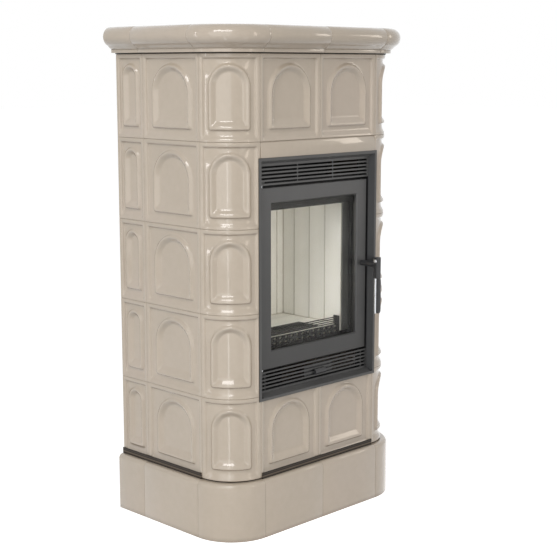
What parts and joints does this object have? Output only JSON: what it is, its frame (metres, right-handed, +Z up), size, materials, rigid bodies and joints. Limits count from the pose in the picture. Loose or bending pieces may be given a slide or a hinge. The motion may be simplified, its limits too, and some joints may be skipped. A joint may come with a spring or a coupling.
{
  "type": "tiled stove",
  "caption": "Free-standing wood stove clad in glazed relief tiles on a steel frame, with a steel insert, a hinged glazed door, a turning handle, a sliding air control and a rear flue collar.",
  "frame": {"origin": "centre of the footprint's bounding box, on the floor", "axes": "+Z up, +X to the right of someone facing the door, -Y out of the door towards them"},
  "size_m": [0.7516, 0.526, 1.3469],
  "materials": {
    "glaze": "gloss beige glaze, darker where it lies deep",
    "painted_steel": "satin dark grey heat-proof paint",
    "sheet_steel": "matte dark grey sheet steel",
    "cast_iron": "matte",
    "fireclay": "matte pale fireclay",
    "bright_steel": "satin",
    "dark_steel": "satin blackened steel",
    "rope": "matte braided glass-fibre rope",
    "pane": "polished clear glass ceramic"
  },
  "bodies": {
    "root": {"corner_tile_left_1": "glaze", "side_tile_left_1": "glaze", "corner_tile_left_2": "glaze", "side_tile_left_2": "glaze", "corner_tile_left_3": "glaze", "side_tile_left_3": "glaze", "corner_tile_left_4": "glaze", "side_tile_left_4": "glaze", "corner_tile_left_5": "glaze", "side_tile_left_5": "glaze", "rear_tiles_left": "glaze", "plinth_corner_left": "glaze", "plinth_side_left": "glaze", "cornice_corner_left": "glaze", "cornice_side_left": "glaze", "firebox_lining_left": "fireclay", "corner_tile_right_1": "glaze", "side_tile_right_1": "glaze", "corner_tile_right_2": "glaze", "side_tile_right_2": "glaze", "corner_tile_right_3": "glaze", "side_tile_right_3": "glaze", "corner_tile_right_4": "glaze", "side_tile_right_4": "glaze", "corner_tile_right_5": "glaze", "side_tile_right_5": "glaze", "rear_tiles_right": "glaze", "plinth_corner_right": "glaze", "plinth_side_right": "glaze", "cornice_corner_right": "glaze", "cornice_side_right": "glaze", "firebox_lining_right": "fireclay", "plinth_front": "glaze", "cornice_front": "glaze", "front_tiles_bottom": "glaze", "front_tiles_top": "glaze", "lintel_tile": "glaze", "steel_frame": "painted_steel", "back_panel": "sheet_steel", "top_plate": "sheet_steel", "insert_frame": "painted_steel", "upper_louvre": "painted_steel", "lower_louvre": "painted_steel", "hinge_pin_lower": "bright_steel", "hinge_pin_upper": "bright_steel", "firebox_shell": "sheet_steel", "firebox_lining_back": "fireclay", "hearth_floor": "fireclay", "grate": "cast_iron", "baffle_plate": "fireclay", "log_fence": "cast_iron", "ash_pan": "sheet_steel", "flue_collar": "sheet_steel"},
    "door": {"door_frame": "painted_steel", "door_glass": "pane", "door_seal": "rope"},
    "handle": {"handle_shaft": "dark_steel", "handle_hub": "dark_steel", "handle_grip": "bright_steel"},
    "slider": {"air_slider": "dark_steel"}
  },
  "joints": [
    {"name": "door_hinge", "type": "hinge", "parent": "root", "child": "door", "pos_m": [-0.199, -0.188, 0.69], "axis": [0, 0, -1], "range_deg": [0, 110]},
    {"name": "handle_turn", "type": "hinge", "parent": "door", "child": "handle", "pos_m": [0.191, -0.21, 0.695], "axis": [0, -1, 0], "range_deg": [0, 90]},
    {"name": "air_slide", "type": "slide", "parent": "root", "child": "slider", "axis": [1, 0, 0], "range_m": [-0.035, 0.035]}
  ]
}
